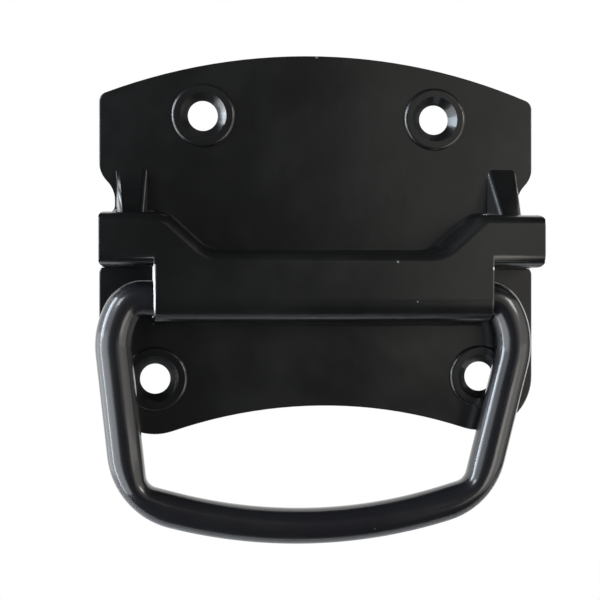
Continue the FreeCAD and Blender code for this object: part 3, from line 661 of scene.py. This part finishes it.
# %% [markdown]
# Gloss black shows whatever lights it. Real cards would have to be far away to look white and
# throw no light on the handle. Light Path does this here: where the camera, a mirror or a glass
# looks, the backdrop is white and the floor pale, and to the light that bounces off them they are
# plain card, the floor a mid grey, so that the grip's underside stays dark.


# %% How the cards look
def seen_or_mirrored(tree):
    """1 where the camera, a mirror or a glass looks at the card, 0 where it lights the object."""
    path = tree.nodes.new("ShaderNodeLightPath")
    seen = tree.nodes.new("ShaderNodeMath")
    seen.operation = "MAXIMUM"
    mirrored = tree.nodes.new("ShaderNodeMath")
    mirrored.operation = "MAXIMUM"
    links = tree.links
    links.new(path.outputs["Is Camera Ray"], seen.inputs[0])
    links.new(path.outputs["Is Transmission Ray"], seen.inputs[1])
    links.new(seen.outputs["Value"], mirrored.inputs[0])
    links.new(path.outputs["Is Glossy Ray"], mirrored.inputs[1])
    return mirrored.outputs["Value"]


def backdrop_material():
    """White where it is seen or mirrored, and pale card to the light that bounces from it."""
    material = bpy.data.materials.new("white_card")
    material.use_nodes = True
    tree = material.node_tree
    tree.nodes.clear()
    output = tree.nodes.new("ShaderNodeOutputMaterial")
    mix = tree.nodes.new("ShaderNodeMixShader")
    card = tree.nodes.new("ShaderNodeBsdfDiffuse")
    card.inputs["Color"].default_value = CARD
    white = tree.nodes.new("ShaderNodeEmission")
    white.inputs["Strength"].default_value = 1.0
    links = tree.links
    links.new(seen_or_mirrored(tree), mix.inputs["Fac"])
    links.new(card.outputs["BSDF"], mix.inputs[1])
    links.new(white.outputs["Emission"], mix.inputs[2])
    links.new(mix.outputs["Shader"], output.inputs["Surface"])
    return material


def floor_material():
    """Matt card, pale where it is seen or mirrored and mid grey to light that bounces from it."""
    material = bpy.data.materials.new("pale_floor")
    material.use_nodes = True
    tree = material.node_tree
    shader = tree.nodes["Principled BSDF"]
    tone = tree.nodes.new("ShaderNodeMapRange")
    tone.inputs["To Min"].default_value = FLOOR_TONE
    tone.inputs["To Max"].default_value = FLOOR_TONE_SEEN
    tree.links.new(seen_or_mirrored(tree), tone.inputs["Value"])
    tree.links.new(tone.outputs["Result"], shader.inputs["Base Color"])
    shader.inputs["Roughness"].default_value = FLOOR_ROUGHNESS
    return material


# %% [markdown]
# Both cards are the same unit square, stretched and turned to its place by a matrix. The floor
# starts a little in front of the handle and runs back to the wall.


# %% Place the cards
def sheet_of_card(name, matrix, material):
    bm = bmesh.new()
    bmesh.ops.create_grid(bm, x_segments=1, y_segments=1, size=1, matrix=matrix)
    card = new_piece(name, bm)
    card.data.materials.append(material)


depth = (WALL_Y - FLOOR_FRONT) / 2
floor_place = Matrix.Translation((0, FLOOR_FRONT + depth, FLOOR_Z)) @ Matrix.Diagonal(
    (STAGE_HALF, depth, 1, 1)
)
wall_place = (
    Matrix.Translation((0, WALL_Y, FLOOR_Z + STAGE_HALF))
    @ Matrix.Rotation(math.radians(90), 4, "X")
    @ Matrix.Diagonal((STAGE_HALF, STAGE_HALF, 1, 1))
)
sheet_of_card("floor", floor_place, floor_material())
sheet_of_card("backdrop", wall_place, backdrop_material())

# %% [markdown]
# The world is white to the camera, so that every side view has the same pale background. The
# paint itself sees only a dim grey room: a white one would be mirrored in every flat and turn
# black to grey.

# %% World
ROOM = (0.50, 0.52, 0.55, 1)
ROOM_STRENGTH = 0.08

world = bpy.data.worlds.new("tent")
bpy.context.scene.world = world
world.use_nodes = True
sky = world.node_tree
sky.nodes.clear()
sky_path = sky.nodes.new("ShaderNodeLightPath")
seen_sky = sky.nodes.new("ShaderNodeBackground")
seen_sky.inputs["Color"].default_value = (1, 1, 1, 1)
room = sky.nodes.new("ShaderNodeBackground")
room.inputs["Color"].default_value = ROOM
room.inputs["Strength"].default_value = ROOM_STRENGTH
choose = sky.nodes.new("ShaderNodeMixShader")
sky_output = sky.nodes.new("ShaderNodeOutputWorld")
sky.links.new(sky_path.outputs["Is Camera Ray"], choose.inputs["Fac"])
sky.links.new(room.outputs["Background"], choose.inputs[1])
sky.links.new(seen_sky.outputs["Background"], choose.inputs[2])
sky.links.new(choose.outputs["Shader"], sky_output.inputs["Surface"])
print("room strength:", ROOM_STRENGTH)

# %% [markdown]
# ## Lamps
#
# Gloss black is lit by what it mirrors. The flats mirror the space in front of the handle, which
# is nearly empty, and stay black. The bends and the bar's flanks mirror the sides, where the
# softboxes stand: a broad cool window on the left with a hot strip in it, and broad, weaker, warm
# lamps on the right, whose near edge gives the plate's right half its faint haze. Two small fills
# higher up put the glints in the ribs and the screw rings.

# %% Softboxes
AIM = Vector((-0.0036, -0.004, -0.0122))
COOL = (0.90, 0.95, 1.0)
BLUE = (0.78, 0.89, 1.0)
WARM = (1.0, 0.97, 0.91)


def softbox(name, azimuth, elevation, distance, size, radiance, colour):
    """Area lamp around the handle; azimuth 0 is in front of it and negative is to the left."""
    a = math.radians(azimuth)
    e = math.radians(elevation)
    direction = Vector((math.sin(a) * math.cos(e), -math.cos(a) * math.cos(e), math.sin(e)))
    width, height = size
    lamp = bpy.data.lights.new(name, "AREA")
    lamp.shape = "RECTANGLE"
    lamp.size = width
    lamp.size_y = height
    lamp.energy = radiance * math.pi * width * height
    lamp.color = colour
    holder = put_in_scene(name, lamp)
    holder.location = AIM + direction * distance
    holder.rotation_euler = direction.to_track_quat("Z", "Y").to_euler()


# Name, azimuth and elevation in degrees, distance and size in metres, radiance, colour.
LAMPS = [
    ("window", -80, 0, 0.50, (1.10, 0.80), 1.0, COOL),
    ("window_low", -82, -17, 0.50, (0.86, 0.42), 1.6, COOL),
    ("strip", -85, 0, 0.44, (0.030, 0.70), 12.0, COOL),
    ("strip_high", -79, 20, 0.44, (0.13, 0.28), 8.0, BLUE),
    ("haze_right", 50, 12, 0.55, (0.86, 0.36), 0.28, WARM),
    ("lamp_right", 65, 2, 0.55, (0.80, 0.52), 0.45, WARM),
    ("lamp_right_low", 54, -19, 0.50, (0.46, 0.28), 0.8, WARM),
    ("lamp_right_core", 38, -17, 0.50, (0.17, 0.15), 1.4, WARM),
    ("fill_left", -42, 26, 0.60, (0.15, 0.15), 7.0, COOL),
    ("fill_right", 48, 17, 0.60, (0.15, 0.15), 7.0, WARM),
]
for lamp_settings in LAMPS:
    softbox(*lamp_settings)
print("softboxes:", len(LAMPS))

# %% [markdown]
# ## Camera
#
# The photograph is taken from a little to the left, level with the handle, and close enough for
# the raised ears to look wider than the plate. With the plate's 100 mm spanning 433 of 600
# pixels, a camera 300 mm away needs a lens of 78 mm on a 36 mm sensor.

# %% Set the camera
CAMERA_AZIMUTH = -7.6
CAMERA_DISTANCE = 0.300
PIXELS_PER_METRE = 4362.5
SENSOR = 36
IMAGE = 600
NEAREST_SEEN = 0.01
LOOK_AT = Vector((-4.5 * MM, 0, -12 * MM))

camera_angle = math.radians(CAMERA_AZIMUTH)
back = Vector((math.sin(camera_angle), -math.cos(camera_angle), 0))
camera_data = bpy.data.cameras.new("camera")
camera_data.sensor_width = SENSOR
camera_data.lens = PIXELS_PER_METRE * CAMERA_DISTANCE / IMAGE * SENSOR
camera_data.clip_start = NEAREST_SEEN
camera = put_in_scene("camera", camera_data)
camera.location = LOOK_AT + back * CAMERA_DISTANCE
camera.rotation_euler = back.to_track_quat("Z", "Y").to_euler()
bpy.context.scene.camera = camera
bpy.context.scene.view_settings.view_transform = "Standard"
print("lens mm:", round(camera_data.lens, 1))
